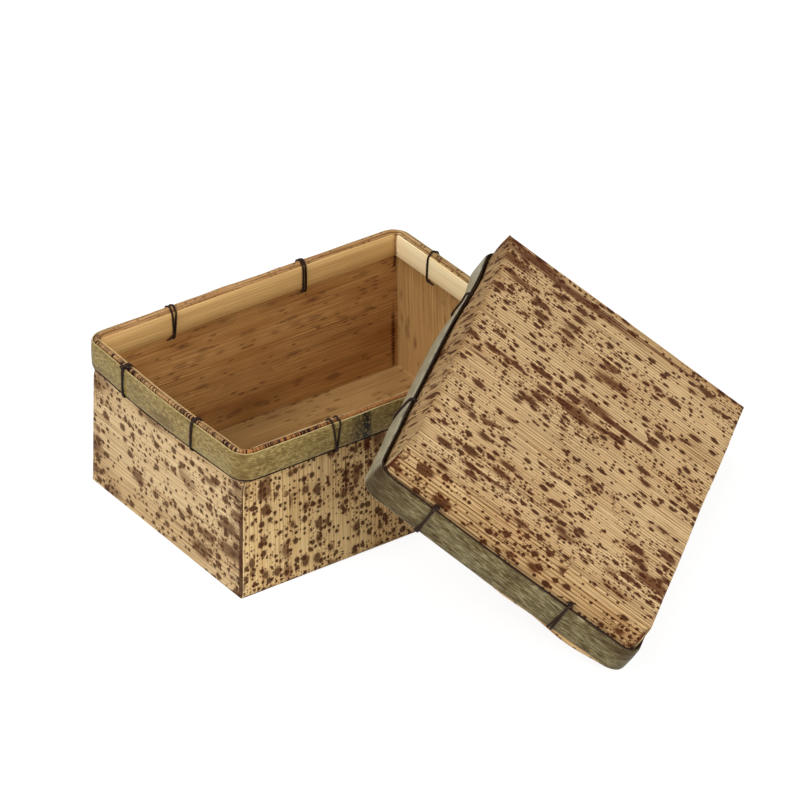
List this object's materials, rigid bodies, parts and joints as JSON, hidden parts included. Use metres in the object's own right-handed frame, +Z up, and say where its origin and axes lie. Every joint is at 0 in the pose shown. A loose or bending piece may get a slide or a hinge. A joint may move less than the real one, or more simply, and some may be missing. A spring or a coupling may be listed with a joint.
{
  "type": "lidded bamboo-sheath box",
  "caption": "Rectangular open box of crossed bamboo-sheath sheets with split-bamboo rim bands and cord ties, and its lift-off cover lid leaning on it.",
  "frame": {"origin": "centre of the caddy's base, on the surface that it stands on", "axes": "+Z up; +X along the caddy's long side to its right end; -Y is the caddy's front long wall, the side that the lid leans on"},
  "size_m": [0.2402, 0.2611, 0.0944],
  "materials": {
    "sheath": "dried bamboo sheath, brown speckles, matt to silky",
    "rim_sheath": "folded bamboo sheath, orange-brown, speckled",
    "outer_bamboo": "split bamboo skin, grey-green, satin",
    "inner_bamboo": "split bamboo flesh, pale gold, matt",
    "cord": "thin waxed cord, near black"
  },
  "bodies": {
    "caddy": {"caddy_cross_wrap": "sheath", "caddy_hoop": "sheath", "caddy_lining": "sheath", "caddy_rim_strip_left": "rim_sheath", "caddy_rim_strip_right": "rim_sheath", "caddy_outer_band": "outer_bamboo", "caddy_inner_band_front": "inner_bamboo", "caddy_inner_band_right": "inner_bamboo", "caddy_inner_band_back": "inner_bamboo", "caddy_inner_band_left": "inner_bamboo", "caddy_edge_cord": "cord", "caddy_tie_front_1": "cord", "caddy_tie_front_2": "cord", "caddy_tie_right_1": "cord", "caddy_tie_right_2": "cord", "caddy_tie_back_1": "cord", "caddy_tie_back_2": "cord", "caddy_tie_left_1": "cord", "caddy_tie_left_2": "cord"},
    "lid": {"lid_cross_wrap": "sheath", "lid_hoop": "sheath", "lid_lining": "sheath", "lid_rim_strip_left": "rim_sheath", "lid_rim_strip_right": "rim_sheath", "lid_outer_band": "outer_bamboo", "lid_inner_band_front": "inner_bamboo", "lid_inner_band_right": "inner_bamboo", "lid_inner_band_back": "inner_bamboo", "lid_inner_band_left": "inner_bamboo", "lid_edge_cord": "cord", "lid_tie_front_1": "cord", "lid_tie_front_2": "cord", "lid_tie_right_1": "cord", "lid_tie_right_2": "cord", "lid_tie_back_1": "cord", "lid_tie_back_2": "cord", "lid_tie_left_1": "cord", "lid_tie_left_2": "cord"}
  },
  "joints": [
    {"name": "lid_lift", "type": "slide", "parent": "caddy", "child": "lid", "axis": [0.354, -0.4264, 0.8324], "range_m": [0, 0.12]}
  ]
}
